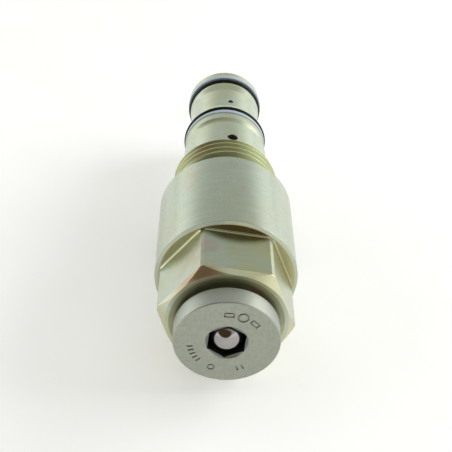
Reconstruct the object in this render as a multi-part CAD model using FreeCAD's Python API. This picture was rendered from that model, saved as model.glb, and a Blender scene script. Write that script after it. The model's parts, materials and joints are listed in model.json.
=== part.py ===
# Adjustable pressure-relief cartridge valve, in millimetres.
#
# The valve axis is Y. The origin is on that axis at the seating shoulder, where the Ø33 barrel meets
# the manifold. +Y runs into the cavity, towards the nose port, and -Y out to the adjusting cap.
# "Station" means a place along Y. Every outline is a list of (radius, station) points turned about Y.
import FreeCAD, Part
import math
import os

Vector = FreeCAD.Vector
ORIGIN = Vector(0, 0, 0)
AXIS = Vector(0, 1, 0)

# ---- fits and clearances --------------------------------------------------------------------------
RUNNING_GAP = 0.05       # radial, between a sliding or turning piece and its bore
SEATED_GAP = 0.01        # radial, between pieces that are pressed or screwed together
RING_GAP = 0.02          # round a rubber or PTFE ring in its groove
FACE_GAP = 0.05          # along the axis, between faces of different moving groups that meet
CHAMBER_GAP = 0.1        # radial, between a spring seat and the chamber it slides in
CUT_OVER = 1.0           # how far a cutting shape runs past the face it opens

# ---- body: hexagon, barrel, shoulder and cavity thread ----------------------------------------------
HEX_AF = 27.0            # across the flats
HEX_CORNER_RISE = 1.85   # from a flat out to the turned corners
HEX_LENGTH = 14.6
HEX_TURN = 79.5          # degrees, direction of the first flat from +X towards +Z
HEX_ROOT_R = 0.45        # fillet where a flat runs into the barrel
BARREL_D = 33.0
BARREL_LENGTH = 26.3
BARREL_FRONT_DROP = 0.9  # radial size of the bevel round the barrel's front edge
BARREL_FRONT_BEVEL = 0.3
BARREL_REAR_R = 0.25
SHOULDER_RING = 1.35      # radial width of the seating ring round the shoulder's edge
SHOULDER_UNDERCUT = 0.3   # the rest of the shoulder, where the port O-ring lies, is this much lower
THREAD_D = 27.0          # M27 x 2 cavity thread
THREAD_PITCH = 2.0
THREAD_LENGTH = 7.9      # with the slope that runs into it
THREAD_END_BEVEL = 0.75
RELIEF_DEPTH = 1.4       # thread relief, which also holds the port O-ring
RELIEF_LENGTH = 5.8
RELIEF_ROOT_R = 0.5
BODY_WALL = 2.1          # between the thread relief and the spring chamber
NECK_BORE_DEPTH = 10.5
CAP_THREAD_WALL = 9.5    # length of the body's internal adjusting thread

# ---- adjusting cap ----------------------------------------------------------------------------------
CAP_D = 23.0
CAP_HEAD = 4.8
CAP_BEVEL = 0.22
CAP_LIFT = 1.5           # gap between the cap's head and the body's end face
NECK_D = 18.0
NECK_LENGTH = 10.6
CAP_THREAD_D = 14.0      # M14 x 1.5 adjusting thread, plain in this model
CAP_THREAD_PITCH = 1.5
SOCKET_AF = 8.0
SOCKET_TURN = 23.0       # degrees, direction of a socket corner from +X towards +Z
SOCKET_MOUTH_BEVEL = 0.35
BALL_PROUD = 0.5         # how far the ball's crown stands out of the cap's face
MARK_DEPTH = 0.18
MARK_PLACE = 0.69        # circle of the index marks, as a share of the cap's radius
RING_MARK = 2.6          # outside of the ring-shaped mark
FRAME_WIDE = 2.3         # square-cornered frame marks, round the circle
FRAME_HIGH = 1.3         # and along a radius
TICK = 0.42              # width of a tick
TURNS_IN = 0.75          # travel of the cap from this setting, in turns
TURNS_OUT = 2.0
CAP_RING_WIDTH = 1.0     # retaining ring on the end of the stem
CAP_RING_RISE = 2.2      # how far it stands out of the stem
CAP_RING_SEAT_DEPTH = 0.8
STEM_PAST_RING = 1.2
THRUST_BALL_D = 5.0
THRUST_POCKET = 1.5

# ---- springs and spring seats -----------------------------------------------------------------------
WIRE_D = 2.8
SPRING_ROOM = 0.3        # radial, between the spring and the sleeve
SPRING_TURNS = 7.15
PLUNGER_FLANGE = 3.0
PLUNGER_BOSS = 4.0
BOSS_GAP = 0.2           # radial, between a spring-seat boss and the spring's inside
SEAT_FLANGE = 3.0
SEAT_BOSS = 3.0
SEAT_BOSS_WALL = 1.55    # radial, between the poppet's tail and the spring's inside
SHIM = 0.6

# ---- sleeve, outside, from the thread to the nose ------------------------------------------------------
SPIGOT_LENGTH = 8.7
SPIGOT_WALL = 1.7
LAND_STEP = 1.2          # long pilot land, above the spigot
LAND_LENGTH = 11.9
GROOVE_DEPTH = 0.75      # shallow groove before the middle seal
GROOVE_RUN = 1.3
GROOVE_FLOOR = 1.2
MID_LAND_DROP = 0.25     # middle land, below the long one
MID_LAND_LENGTH = 3.05   # with the slope up to it
MID_SEAL_DEPTH = 1.35
MID_RIB_DROP = 0.45
MID_RIB = 0.75
MID_RUN_OUT = 2.1
WAIST_DEPTH = 0.9        # below the nose land
WAIST_LENGTH = 10.0
NOSE_RUN_OUT = 2.15
NOSE_RIB_DROP = 0.5
NOSE_RIB = 0.9
NOSE_D = 21.0
NOSE_SEAL_DEPTH = 1.87
NOSE_LENGTH = 2.67       # land beyond the nose seal
NOSE_BEVEL = 0.5

# ---- sleeve, inside and holes ---------------------------------------------------------------------------
SIDE_HOLES = 4
VENT_HOLE_D = 2.8        # spring-chamber vent, in the long land
VENT_PLACE = 4.4         # from the thread's end face
PORT_HOLE_D = 1.5        # outlet holes, in the waist
PORT_PLACE = 2.86        # from the start of the waist
GUIDE_LAG = 0.4          # the guide bore starts this far past the long land
NOSE_WALL = 1.63         # between the nose seal's groove and the seat's pocket
SEAT_LEDGE = 1.0         # radial, where the seat stops against the guide bore
SEAT_LENGTH = 5.5
SEAT_PLACE = 3.0         # from the outlet holes to the seat
SCREEN_GROOVE_DEPTH = 0.5

# ---- seals ------------------------------------------------------------------------------------------
PORT_RING_SECTION = 2.9
SEAL_SECTION = 1.78
RING_PROUD = 0.44        # radial, a free O-ring above the land or rib in front of it
BACKUP_PROUD = 0.18
BACKUP_WIDTH = 1.3
BACKUP_EDGE_R = 0.12
CAP_SEAL_SECTION = 1.4
CAP_SEAL_PLACE = 4.2     # from the body's end face to the seal groove
CAP_BACKUP_WIDTH = 1.2
JOINT_SECTION = 1.5      # O-ring between the sleeve's spigot and the body
JOINT_PLACE = 2.0

# ---- poppet, seat and screen --------------------------------------------------------------------------
SEAT_NARROWING = 2.0     # radial, from the guide bore to the seat's bore
SEAT_RING_SECTION = 1.0
SEAT_RING_PLACE = 2.4
SEAT_BEVEL = 1.0
POPPET_HEAD_RISE = 1.0   # radial, head above the seat's bore
POPPET_HEAD_RIM = 1.0
POPPET_NECK_DEPTH = 1.4  # radial, below the guide bore
POPPET_NECK_LENGTH = 4.5
POPPET_TIP_DROP = 1.2
POPPET_PAST_GUIDE = 1.5
TAIL_LENGTH = 5.0
POPPET_SEAL_PLACE = 3.0  # from the start of the guide bore
POPPET_SEAL_WIDTH = 2.4
POPPET_SEAL_DEPTH = 1.8
SLIPPER_WALL = 0.75      # PTFE slipper ring over the poppet's O-ring
SCREEN = 0.6
SCREEN_HOLE_D = 1.0
SCREEN_HOLE_STEP = 1.9
CIRCLIP = 1.0
CIRCLIP_RISE = 0.7       # how far it stands into the nose bore
CIRCLIP_PLACE = 0.3      # free space between the screen and its ring
SPLIT_GAP = 3.0          # width of the gap in a split ring

# ---- radii that follow ---------------------------------------------------------------------------------
hex_corner_r = HEX_AF / 2 + HEX_CORNER_RISE
thread_r = THREAD_D / 2
relief_r = thread_r - RELIEF_DEPTH
seat_ring_r = BARREL_D / 2 - SHOULDER_RING
chamber_r = relief_r - BODY_WALL
spigot_r = chamber_r - SEATED_GAP
sleeve_bore_r = chamber_r - SPIGOT_WALL
spring_r = sleeve_bore_r - SPRING_ROOM
boss_r = spring_r - WIRE_D - BOSS_GAP
cap_thread_bore_r = CAP_THREAD_D / 2 + RUNNING_GAP
neck_r = NECK_D / 2
neck_bore_r = neck_r + RUNNING_GAP
ball_r = SOCKET_AF / 2 - SEATED_GAP
land_r = chamber_r + LAND_STEP
mid_land_r = land_r - MID_LAND_DROP
mid_root_r = mid_land_r - MID_SEAL_DEPTH
nose_r = NOSE_D / 2
nose_root_r = nose_r - NOSE_SEAL_DEPTH
nose_bore_r = nose_root_r - NOSE_WALL
guide_bore_r = nose_bore_r - SEAT_LEDGE
seat_bore_r = guide_bore_r - SEAT_NARROWING
poppet_r = guide_bore_r - RUNNING_GAP
tail_r = boss_r - SEAT_BOSS_WALL
circlip_seat_r = nose_bore_r + SCREEN_GROOVE_DEPTH

# ---- stations that follow --------------------------------------------------------------------------------
shoulder_front = -BARREL_LENGTH
end_face = shoulder_front - HEX_LENGTH
cap_rear = end_face - CAP_LIFT
cap_face = cap_rear - CAP_HEAD
neck_bore_end = end_face + NECK_BORE_DEPTH
chamber_start = neck_bore_end + CAP_THREAD_WALL
travel_out = TURNS_OUT * CAP_THREAD_PITCH
neck_end = cap_rear + NECK_LENGTH
cap_seal_start = end_face + CAP_SEAL_PLACE
stem_ring = chamber_start + travel_out + FACE_GAP
stem_end = stem_ring + CAP_RING_WIDTH + STEM_PAST_RING
thrust_centre = stem_end - THRUST_POCKET + THRUST_BALL_D / 2 + FACE_GAP
plunger_front = thrust_centre + THRUST_BALL_D / 2 - THRUST_POCKET + FACE_GAP
spring_start = plunger_front + PLUNGER_FLANGE
thread_end = RELIEF_LENGTH + THREAD_LENGTH
spigot_start = thread_end - SPIGOT_LENGTH
joint_start = spigot_start + JOINT_PLACE
land_end = thread_end + LAND_LENGTH
groove_start = land_end + GROOVE_RUN
groove_end = groove_start + GROOVE_FLOOR
mid_seal_start = groove_end + MID_LAND_LENGTH
seal_width = BACKUP_WIDTH + SEAL_SECTION + 3 * RING_GAP
mid_seal_end = mid_seal_start + seal_width
waist_start = mid_seal_end + MID_RIB + MID_RUN_OUT
waist_end = waist_start + WAIST_LENGTH
nose_seal_start = waist_end + NOSE_RUN_OUT + NOSE_RIB
nose_seal_end = nose_seal_start + seal_width
nose_end = nose_seal_end + NOSE_LENGTH
vent_station = thread_end + VENT_PLACE
port_station = waist_start + PORT_PLACE
guide_start = land_end + GUIDE_LAG
poppet_rear = guide_start - POPPET_PAST_GUIDE
poppet_seal_start = guide_start + POPPET_SEAL_PLACE
seat_start = port_station + SEAT_PLACE
seat_end = seat_start + SEAT_LENGTH
screen_end = seat_end + SCREEN
circlip_start = screen_end + CIRCLIP_PLACE
circlip_end = circlip_start + CIRCLIP
seat_front = poppet_rear - SEAT_FLANGE
spring_end = seat_front - SHIM


# ---- helpers ----------------------------------------------------------------------------------------
def corner(before, at, after, radius):
    """The two tangent points and the middle of the arc that rounds a corner of an outline."""
    back = (before - at).normalize()
    ahead = (after - at).normalize()
    half = back.getAngle(ahead) / 2
    reach = radius / math.tan(half)
    centre = at + (back + ahead).normalize() * (radius / math.sin(half))
    middle = centre + (at - centre).normalize() * radius
    return at + back * reach, middle, at + ahead * reach


def outline(points, rounds=None):
    """A closed face from (radius, station) points; rounds gives a radius to chosen corners."""
    rounds = rounds or {}
    place = [Vector(r, y, 0) for r, y in points]
    count = len(place)
    edges = []
    last = None
    first = None
    for i, at in enumerate(place):
        if i in rounds:
            start, middle, end = corner(place[i - 1], at, place[(i + 1) % count], rounds[i])
        else:
            start, middle, end = at, None, at
        if last is not None:
            edges.append(Part.makeLine(last, start))
        if middle is not None:
            edges.append(Part.Arc(start, middle, end).toShape())
        first = first or start
        last = end
    edges.append(Part.makeLine(last, first))
    return Part.Face(Part.Wire(edges))


def turned(points, rounds=None):
    """A solid turned about the valve axis."""
    return outline(points, rounds).revolve(ORIGIN, AXIS, 360)


def tube(outer_r, inner_r, start, end):
    return turned([(inner_r, start), (outer_r, start), (outer_r, end), (inner_r, end)])


def rod(radius, start, end):
    return Part.makeCylinder(radius, end - start, Vector(0, start, 0), AXIS)


def o_ring(section, middle_r, station):
    return Part.makeTorus(middle_r, section / 2, Vector(0, station, 0), AXIS)


def radial(angle):
    """A unit vector across the axis, from +X towards +Z."""
    turn = math.radians(angle)
    return Vector(math.cos(turn), 0, math.sin(turn))


def hexagon(across_flats, corner_angle, start, end):
    corner_r = across_flats / 2 / math.cos(math.pi / 6)
    ends = [radial(corner_angle + 60 * i) * corner_r + Vector(0, start, 0) for i in range(7)]
    return Part.Face(Part.makePolygon(ends)).extrude(AXIS * (end - start))


def side_holes(diameter, station, inner_r, outer_r):
    """Cross holes spaced round the sleeve, the first in line with a flat of the hexagon."""
    drills = []
    for i in range(SIDE_HOLES):
        way = radial(HEX_TURN + 360 / SIDE_HOLES * i)
        drills.append(Part.makeCylinder(diameter / 2, outer_r - inner_r, way * inner_r + AXIS * station, way))
    return drills


def split(ring, angle, station):
    """Cuts the gap of a split ring."""
    way = radial(angle)
    reach = BARREL_D
    block = Part.makeBox(reach, reach, SPLIT_GAP, Vector(0, station - reach / 2, -SPLIT_GAP / 2))
    block.rotate(ORIGIN, AXIS, -math.degrees(math.atan2(way.z, way.x)))
    return ring.cut(block)


# ---- body -------------------------------------------------------------------------------------------
def hex_flat_cutter(angle):
    """Takes one flat off the hexagon and leaves a fillet where it meets the barrel."""
    reach = BARREL_D
    depth = HEX_LENGTH + CUT_OVER
    block = Part.makeBox(reach, depth, reach, Vector(HEX_AF / 2, end_face - CUT_OVER, -reach / 2))
    root = [e for e in block.Edges
            if all(abs(v.X - HEX_AF / 2) < 1e-6 and abs(v.Y - shoulder_front) < 1e-6 for v in e.Vertexes)]
    block = block.makeFillet(HEX_ROOT_R, root)
    block.rotate(ORIGIN, AXIS, -angle)
    return block


def thread_groove(start, end):
    """The right-hand helical groove of the cavity thread, with 60 degree flanks."""
    flank = math.tan(math.radians(30))
    clear = THREAD_PITCH / 8
    root_half = THREAD_PITCH / 8
    depth = (THREAD_PITCH * 7 / 16 - root_half) / flank
    mouth_half = root_half + (depth + clear) * flank
    root_r = thread_r - depth
    mouth_r = thread_r + clear
    section = Part.makePolygon([
        Vector(root_r, 0, -root_half),
        Vector(mouth_r, 0, -mouth_half),
        Vector(mouth_r, 0, mouth_half),
        Vector(root_r, 0, root_half),
        Vector(root_r, 0, -root_half),
    ])
    spine = Part.Wire(Part.makeHelix(THREAD_PITCH, end - start, thread_r))
    groove = spine.makePipeShell([section], True, True)
    groove.rotate(ORIGIN, Vector(1, 0, 0), -90)
    groove.translate(AXIS * start)
    return groove


def hex_body():
    barrel_r = BARREL_D / 2
    outside = [
        (neck_bore_r, end_face),
        (HEX_AF / 2, end_face),
        (hex_corner_r, end_face + HEX_CORNER_RISE),
        (hex_corner_r, shoulder_front),
        (barrel_r - BARREL_FRONT_DROP, shoulder_front),
        (barrel_r, shoulder_front + BARREL_FRONT_BEVEL),
        (barrel_r, 0),
        (seat_ring_r, 0),
        (seat_ring_r, -SHOULDER_UNDERCUT),
        (relief_r, -SHOULDER_UNDERCUT),
        (relief_r, RELIEF_LENGTH),
        (thread_r, RELIEF_LENGTH + RELIEF_DEPTH),
        (thread_r, thread_end - THREAD_END_BEVEL),
        (thread_r - THREAD_END_BEVEL, thread_end),
        (chamber_r, thread_end),
        (chamber_r, chamber_start),
        (cap_thread_bore_r, chamber_start),
        (cap_thread_bore_r, neck_bore_end),
        (neck_bore_r, neck_bore_end),
    ]
    body = turned(outside, {6: BARREL_REAR_R, 9: RELIEF_ROOT_R})
    for i in range(6):
        body = body.cut(hex_flat_cutter(HEX_TURN + 60 * i))
    return body.cut(thread_groove(RELIEF_LENGTH - THREAD_PITCH / 2, thread_end + THREAD_PITCH / 2))


# ---- adjusting cap and its pieces ---------------------------------------------------------------------
def face_block(width, height, depth, angle):
    """A cutting block on the index circle of the cap's face, turned to its angle."""
    middle = MARK_PLACE * CAP_D / 2
    corner_at = Vector(middle - width / 2, cap_face + MARK_DEPTH - depth, -height / 2)
    block = Part.makeBox(width, depth, height, corner_at)
    block.rotate(ORIGIN, AXIS, -angle)
    return block


def face_ring(outer_d, inner_d, depth, angle):
    """A round cutting ring on the index circle of the cap's face."""
    foot = radial(angle) * (MARK_PLACE * CAP_D / 2) + AXIS * (cap_face + MARK_DEPTH - depth)
    ring = Part.makeCylinder(outer_d / 2, depth, foot, AXIS)
    return ring.cut(Part.makeCylinder(inner_d / 2, depth, foot, AXIS))


def index_marks():
    """Plain index marks sunk in the cap's face: two frames beside a ring, ticks, a small ring and two ticks."""
    depth = MARK_DEPTH + CUT_OVER
    marks = [
        face_ring(RING_MARK, RING_MARK - 2 * TICK, depth, 64),
        face_ring(0.65 * RING_MARK, 0.4 * RING_MARK, depth, 244),
    ]
    for angle in (86, 42):
        core = face_block(FRAME_HIGH - 1.4 * TICK, FRAME_WIDE - 2 * TICK, depth, angle)
        marks.append(face_block(FRAME_HIGH, FRAME_WIDE, depth, angle).cut(core))
    for angle in (186, 194, 202, 210, 218, 286, 295):
        marks.append(face_block(3 * TICK, TICK, depth, angle))
    return marks


def adjusting_cap():
    cap_r = CAP_D / 2
    stem_r = CAP_THREAD_D / 2
    seal_end = cap_seal_start + CAP_SEAL_SECTION + CAP_BACKUP_WIDTH + 3 * RING_GAP
    seal_root = neck_r - CAP_SEAL_SECTION
    ring_seat_r = stem_r - CAP_RING_SEAT_DEPTH
    ring_end = stem_ring + CAP_RING_WIDTH
    cap = turned([
        (0, cap_face),
        (cap_r - CAP_BEVEL, cap_face),
        (cap_r, cap_face + CAP_BEVEL),
        (cap_r, cap_rear - CAP_BEVEL),
        (cap_r - CAP_BEVEL, cap_rear),
        (neck_r, cap_rear),
        (neck_r, cap_seal_start),
        (seal_root, cap_seal_start),
        (seal_root, seal_end),
        (neck_r, seal_end),
        (neck_r, neck_end),
        (stem_r, neck_end),
        (stem_r, stem_ring),
        (ring_seat_r, stem_ring),
        (ring_seat_r, ring_end),
        (stem_r, ring_end),
        (stem_r, stem_end),
        (0, stem_end),
    ])
    socket_end = cap_face - BALL_PROUD + 2 * ball_r + RING_GAP
    cap = cap.cut(hexagon(SOCKET_AF, SOCKET_TURN, cap_face - CUT_OVER, socket_end))
    mouth_r = SOCKET_AF / 2 / math.cos(math.pi / 6) + SOCKET_MOUTH_BEVEL / 3
    floor_r = mouth_r - SOCKET_MOUTH_BEVEL
    cap = cap.cut(Part.makeCone(mouth_r, floor_r, SOCKET_MOUTH_BEVEL, AXIS * cap_face, AXIS))
    cap = cap.cut(rod(THRUST_BALL_D / 2 + RUNNING_GAP, stem_end - THRUST_POCKET, stem_end + CUT_OVER))
    for mark in index_marks():
        cap = cap.cut(mark)
    return cap


def tamper_ball():
    return Part.makeSphere(ball_r, AXIS * (cap_face - BALL_PROUD + ball_r))


def cap_backup_ring():
    start = cap_seal_start + RING_GAP
    return tube(neck_r, neck_r - CAP_SEAL_SECTION + RING_GAP, start, start + CAP_BACKUP_WIDTH)


def cap_o_ring():
    section = CAP_SEAL_SECTION - RING_GAP
    station = cap_seal_start + CAP_BACKUP_WIDTH + 2 * RING_GAP + CAP_SEAL_SECTION / 2
    return o_ring(section, neck_r - section / 2, station)


def cap_retaining_ring():
    stem_r = CAP_THREAD_D / 2
    start = stem_ring + SEATED_GAP
    end = stem_ring + CAP_RING_WIDTH - SEATED_GAP
    ring = tube(stem_r + CAP_RING_RISE, stem_r - CAP_RING_SEAT_DEPTH + SEATED_GAP, start, end)
    return split(ring, HEX_TURN, stem_ring)


# ---- spring train -----------------------------------------------------------------------------------
def spring_plunger():
    flange_r = chamber_r - CHAMBER_GAP
    plunger = turned([
        (0, plunger_front),
        (flange_r, plunger_front),
        (flange_r, spring_start),
        (boss_r, spring_start),
        (boss_r, spring_start + PLUNGER_BOSS),
        (0, spring_start + PLUNGER_BOSS),
    ], {1: 0.4, 4: 0.8})
    pocket = rod(THRUST_BALL_D / 2 + RUNNING_GAP, plunger_front - CUT_OVER, plunger_front + THRUST_POCKET)
    return plunger.cut(pocket)


def thrust_ball():
    return Part.makeSphere(THRUST_BALL_D / 2, AXIS * thrust_centre)


def main_spring():
    """A coil spring with its ends ground flat."""
    wire_r = WIRE_D / 2
    coil_r = spring_r - wire_r
    length = spring_end - spring_start
    spine = Part.Wire(Part.makeHelix(length / SPRING_TURNS, length + WIRE_D, coil_r))
    section = Part.Wire(Part.makeCircle(wire_r, Vector(coil_r, 0, 0), AXIS))
    coil = spine.makePipeShell([section], True, True)
    coil.rotate(ORIGIN, Vector(1, 0, 0), -90)
    coil.translate(AXIS * (spring_start - wire_r))
    return coil.common(rod(spring_r + CUT_OVER, spring_start + FACE_GAP, spring_end - FACE_GAP))


def spring_shim():
    return tube(spring_r, boss_r + RUNNING_GAP, spring_end, seat_front - SEATED_GAP)


def lower_spring_seat():
    inner_r = tail_r + SEATED_GAP
    outer_r = sleeve_bore_r - CHAMBER_GAP
    rear = poppet_rear - SEATED_GAP
    return turned([
        (inner_r, seat_front - SEAT_BOSS),
        (boss_r, seat_front - SEAT_BOSS),
        (boss_r, seat_front),
        (outer_r, seat_front),
        (outer_r, rear),
        (inner_r, rear),
    ], {1: 0.6, 4: 0.3})


# ---- poppet and its seals -----------------------------------------------------------------------------
def poppet():
    """A guided poppet whose 45 degree cone closes on the inner edge of the seat."""
    seal_end = poppet_seal_start + POPPET_SEAL_WIDTH
    seal_root = poppet_r - POPPET_SEAL_DEPTH
    neck = guide_bore_r - POPPET_NECK_DEPTH
    contact = seat_start - FACE_GAP
    head_r = seat_bore_r + POPPET_HEAD_RISE
    head_end = contact - POPPET_HEAD_RISE
    head_start = head_end - POPPET_HEAD_RIM
    return turned([
        (0, poppet_rear - TAIL_LENGTH),
        (tail_r, poppet_rear - TAIL_LENGTH),
        (tail_r, poppet_rear),
        (poppet_r, poppet_rear),
        (poppet_r, poppet_seal_start),
        (seal_root, poppet_seal_start),
        (seal_root, seal_end),
        (poppet_r, seal_end),
        (poppet_r, head_end - POPPET_NECK_LENGTH),
        (neck, head_end - POPPET_NECK_LENGTH),
        (neck, head_start),
        (head_r, head_start),
        (head_r, head_end),
        (seat_bore_r - POPPET_TIP_DROP, contact + POPPET_TIP_DROP),
        (0, contact + POPPET_TIP_DROP),
    ], {1: 0.5, 9: 0.5})


def poppet_slipper_ring():
    start = poppet_seal_start + RING_GAP
    end = poppet_seal_start + POPPET_SEAL_WIDTH - RING_GAP
    return tube(poppet_r, poppet_r - SLIPPER_WALL, start, end)


def poppet_o_ring():
    root_r = poppet_r - POPPET_SEAL_DEPTH
    section = POPPET_SEAL_DEPTH - SLIPPER_WALL - 2 * RING_GAP
    station = poppet_seal_start + POPPET_SEAL_WIDTH / 2
    return o_ring(section, root_r + RING_GAP + section / 2, station)


# ---- sleeve and its pieces ----------------------------------------------------------------------------
def sleeve():
    joint_root = chamber_r - JOINT_SECTION
    joint_end = joint_start + JOINT_SECTION + 2 * RING_GAP
    groove_r = land_r - GROOVE_DEPTH
    mid_slope = mid_land_r - groove_r
    mid_rib_r = mid_land_r - MID_RIB_DROP
    waist_r = nose_r - WAIST_DEPTH
    nose_rib_r = nose_r - NOSE_RIB_DROP
    face = thread_end + SEATED_GAP
    part = turned([
        (sleeve_bore_r, spigot_start),
        (spigot_r, spigot_start),
        (spigot_r, joint_start),
        (joint_root, joint_start),
        (joint_root, joint_end),
        (spigot_r, joint_end),
        (spigot_r, face),
        (land_r, face),
        (land_r, land_end),
        (groove_r, groove_start),
        (groove_r, groove_end),
        (mid_land_r, groove_end + mid_slope),
        (mid_land_r, mid_seal_start),
        (mid_root_r, mid_seal_start),
        (mid_root_r, mid_seal_end),
        (mid_rib_r, mid_seal_end),
        (mid_rib_r, mid_seal_end + MID_RIB),
        (waist_r, waist_start),
        (waist_r, waist_end),
        (nose_rib_r, nose_seal_start - NOSE_RIB),
        (nose_rib_r, nose_seal_start),
        (nose_root_r, nose_seal_start),
        (nose_root_r, nose_seal_end),
        (nose_r, nose_seal_end),
        (nose_r, nose_end - NOSE_BEVEL),
        (nose_r - NOSE_BEVEL, nose_end),
        (nose_bore_r, nose_end),
        (nose_bore_r, circlip_end),
        (circlip_seat_r, circlip_end),
        (circlip_seat_r, circlip_start),
        (nose_bore_r, circlip_start),
        (nose_bore_r, seat_start),
        (guide_bore_r, seat_start),
        (guide_bore_r, guide_start),
        (sleeve_bore_r, guide_start),
    ], {8: 0.5, 9: 0.5, 12: 0.12, 15: 0.12, 17: 2.5, 18: 4.0, 20: 0.12})
    for drill in side_holes(VENT_HOLE_D, vent_station, sleeve_bore_r - CUT_OVER, land_r + CUT_OVER):
        part = part.cut(drill)
    for drill in side_holes(PORT_HOLE_D, port_station, guide_bore_r - CUT_OVER, waist_r + CUT_OVER):
        part = part.cut(drill)
    return part


def sleeve_o_ring():
    section = JOINT_SECTION - 2 * RING_GAP
    return o_ring(section, chamber_r - JOINT_SECTION / 2, joint_start + JOINT_SECTION / 2 + RING_GAP)


def port_o_ring():
    middle_r = relief_r + PORT_RING_SECTION / 2 + RING_GAP
    return o_ring(PORT_RING_SECTION, middle_r, PORT_RING_SECTION / 2 + RING_GAP)


def backup_ring(outer_r, root_r, start):
    inner_r = root_r + RING_GAP
    end = start + BACKUP_WIDTH
    points = [(inner_r, start), (outer_r, start), (outer_r, end), (inner_r, end)]
    return turned(points, {1: BACKUP_EDGE_R, 2: BACKUP_EDGE_R})


def seal_ring(surface_r, start):
    """A free O-ring that stands proud of its land."""
    return o_ring(SEAL_SECTION, surface_r + RING_PROUD - SEAL_SECTION / 2, start + SEAL_SECTION / 2)


def mid_backup_ring():
    return backup_ring(mid_land_r + BACKUP_PROUD, mid_root_r, mid_seal_start + RING_GAP)


def mid_o_ring():
    return seal_ring(mid_land_r, mid_seal_start + BACKUP_WIDTH + 2 * RING_GAP)


def nose_o_ring():
    return seal_ring(nose_r - NOSE_RIB_DROP, nose_seal_start + RING_GAP)


def nose_backup_ring():
    return backup_ring(nose_r + BACKUP_PROUD, nose_root_r, nose_seal_start + SEAL_SECTION + 2 * RING_GAP)


def valve_seat():
    outer_r = nose_bore_r - SEATED_GAP
    root_r = outer_r - SEAT_RING_SECTION
    start = seat_start + SEATED_GAP
    ring_start = seat_start + SEAT_RING_PLACE
    ring_end = ring_start + SEAT_RING_SECTION + 2 * RING_GAP
    return turned([
        (seat_bore_r, start),
        (outer_r, start),
        (outer_r, ring_start),
        (root_r, ring_start),
        (root_r, ring_end),
        (outer_r, ring_end),
        (outer_r, seat_end),
        (seat_bore_r + SEAT_BEVEL, seat_end),
        (seat_bore_r, seat_end - SEAT_BEVEL),
    ])


def seat_o_ring():
    section = SEAT_RING_SECTION - 2 * RING_GAP
    middle_r = nose_bore_r - SEATED_GAP - SEAT_RING_SECTION / 2
    station = seat_start + SEAT_RING_PLACE + SEAT_RING_SECTION / 2 + RING_GAP
    return o_ring(section, middle_r, station)


def inlet_screen():
    """A perforated disc across the nose port, its holes on a triangular grid."""
    screen = rod(nose_bore_r - RING_GAP, seat_end + SEATED_GAP, screen_end)
    rows = int(nose_bore_r / SCREEN_HOLE_STEP) + 1
    limit = seat_bore_r + SEAT_BEVEL - SCREEN_HOLE_D / 2
    for i in range(-rows, rows + 1):
        for j in range(-rows, rows + 1):
            x = (i + j / 2) * SCREEN_HOLE_STEP
            z = j * SCREEN_HOLE_STEP * math.sqrt(3) / 2
            if math.hypot(x, z) <= limit:
                foot = Vector(x, seat_end - CUT_OVER, z)
                screen = screen.cut(Part.makeCylinder(SCREEN_HOLE_D / 2, SCREEN + 2 * CUT_OVER, foot, AXIS))
    return screen


def screen_circlip():
    start = circlip_start + RING_GAP
    end = circlip_end - RING_GAP
    ring = tube(circlip_seat_r - RING_GAP, nose_bore_r - CIRCLIP_RISE, start, end)
    return split(ring, HEX_TURN, circlip_start)


PIECES = [
    hex_body, port_o_ring, adjusting_cap, tamper_ball, cap_o_ring, cap_backup_ring, cap_retaining_ring,
    thrust_ball, spring_plunger, main_spring, spring_shim, lower_spring_seat, poppet, poppet_o_ring,
    poppet_slipper_ring, sleeve, sleeve_o_ring, mid_backup_ring, mid_o_ring, nose_o_ring, nose_backup_ring,
    valve_seat, seat_o_ring, inlet_screen, screen_circlip,
]

os.makedirs("parts", exist_ok=True)
for piece in PIECES:
    shape = piece()
    shape.exportStep("parts/" + piece.__name__ + ".step")
    print(piece.__name__, round(shape.Volume, 2), "solids", len(shape.Solids), "valid", shape.isValid())
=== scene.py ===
# Adjustable pressure-relief cartridge valve: the looks round the CAD model.
#
# Everything is in metres, in the CAD model's own frame. The valve axis is Y: the adjusting cap is
# at the low end and the nose port at the high end. "Station" means a place along Y.
import json
import math

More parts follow.
